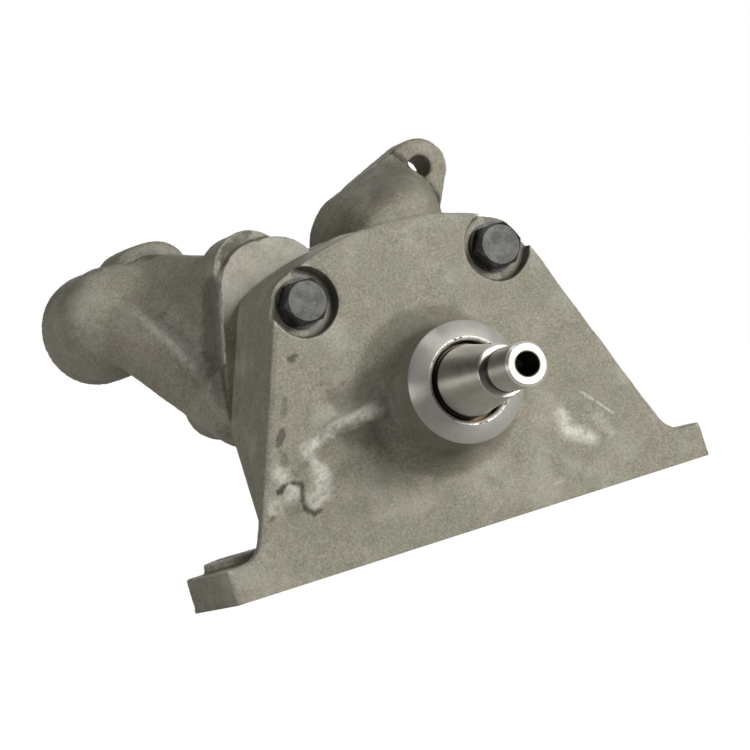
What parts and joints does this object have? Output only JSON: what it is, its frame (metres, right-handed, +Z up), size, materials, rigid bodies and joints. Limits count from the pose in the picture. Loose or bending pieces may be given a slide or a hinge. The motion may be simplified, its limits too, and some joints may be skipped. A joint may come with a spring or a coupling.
{
  "type": "engine oil pump",
  "caption": "Foot-mounted gear oil pump: cast bracket with a stepped drive shaft, gear housing with suction duct, delivery flange and relief valve behind it.",
  "frame": {"origin": "centre of the foot's lower face", "axes": "+X along the foot, +Y from the drive end to the ports at the back, +Z up"},
  "size_m": [0.18, 0.2086, 0.1375],
  "materials": {
    "cast_iron": "rough",
    "turned_steel": "satin",
    "gear_steel": "satin",
    "spring_steel": "satin",
    "bolt_steel": "matte",
    "plated_steel": "satin",
    "bronze": "satin",
    "copper_washer": "satin"
  },
  "bodies": {
    "casing": {"mounting_bracket": "cast_iron", "pump_housing": "cast_iron", "front_shaft_bushing": "bronze", "middle_shaft_bushing": "bronze", "rear_shaft_bushing": "bronze", "idler_shaft": "turned_steel", "relief_spring": "spring_steel", "relief_valve_seat": "turned_steel", "relief_valve_plug": "bolt_steel", "relief_plug_washer": "copper_washer", "rear_core_plug": "plated_steel", "upper_bolts": "bolt_steel", "upper_bolt_washers": "bolt_steel", "lower_bolts": "bolt_steel", "lower_bolt_washers": "bolt_steel", "dowel_pins": "turned_steel"},
    "rotor": {"drive_shaft": "turned_steel", "drive_gear": "gear_steel", "drive_key": "turned_steel", "gear_retaining_ring": "spring_steel"},
    "idler": {"idler_gear": "gear_steel", "idler_bushing": "bronze"},
    "relief_valve": {"relief_plunger": "turned_steel"}
  },
  "joints": [
    {"name": "drive_shaft_spin", "type": "hinge", "parent": "casing", "child": "rotor", "pos_m": [0, 0, 0.0485], "axis": [0, 1, 0], "continuous": true},
    {"name": "idler_gear_spin", "type": "hinge", "parent": "casing", "child": "idler", "pos_m": [0, 0, 0.0835], "axis": [0, 1, 0], "continuous": true},
    {"name": "relief_valve_slide", "type": "slide", "parent": "casing", "child": "relief_valve", "axis": [0, 0, 1], "range_m": [-0.01, 0], "stiffness_N_per_m": 4000, "springref_m": 0.0085, "deforming": ["relief_spring"]}
  ],
  "couplings": [
    {"joint": "idler_gear_spin", "follows": "drive_shaft_spin", "ratio": -1}
  ]
}
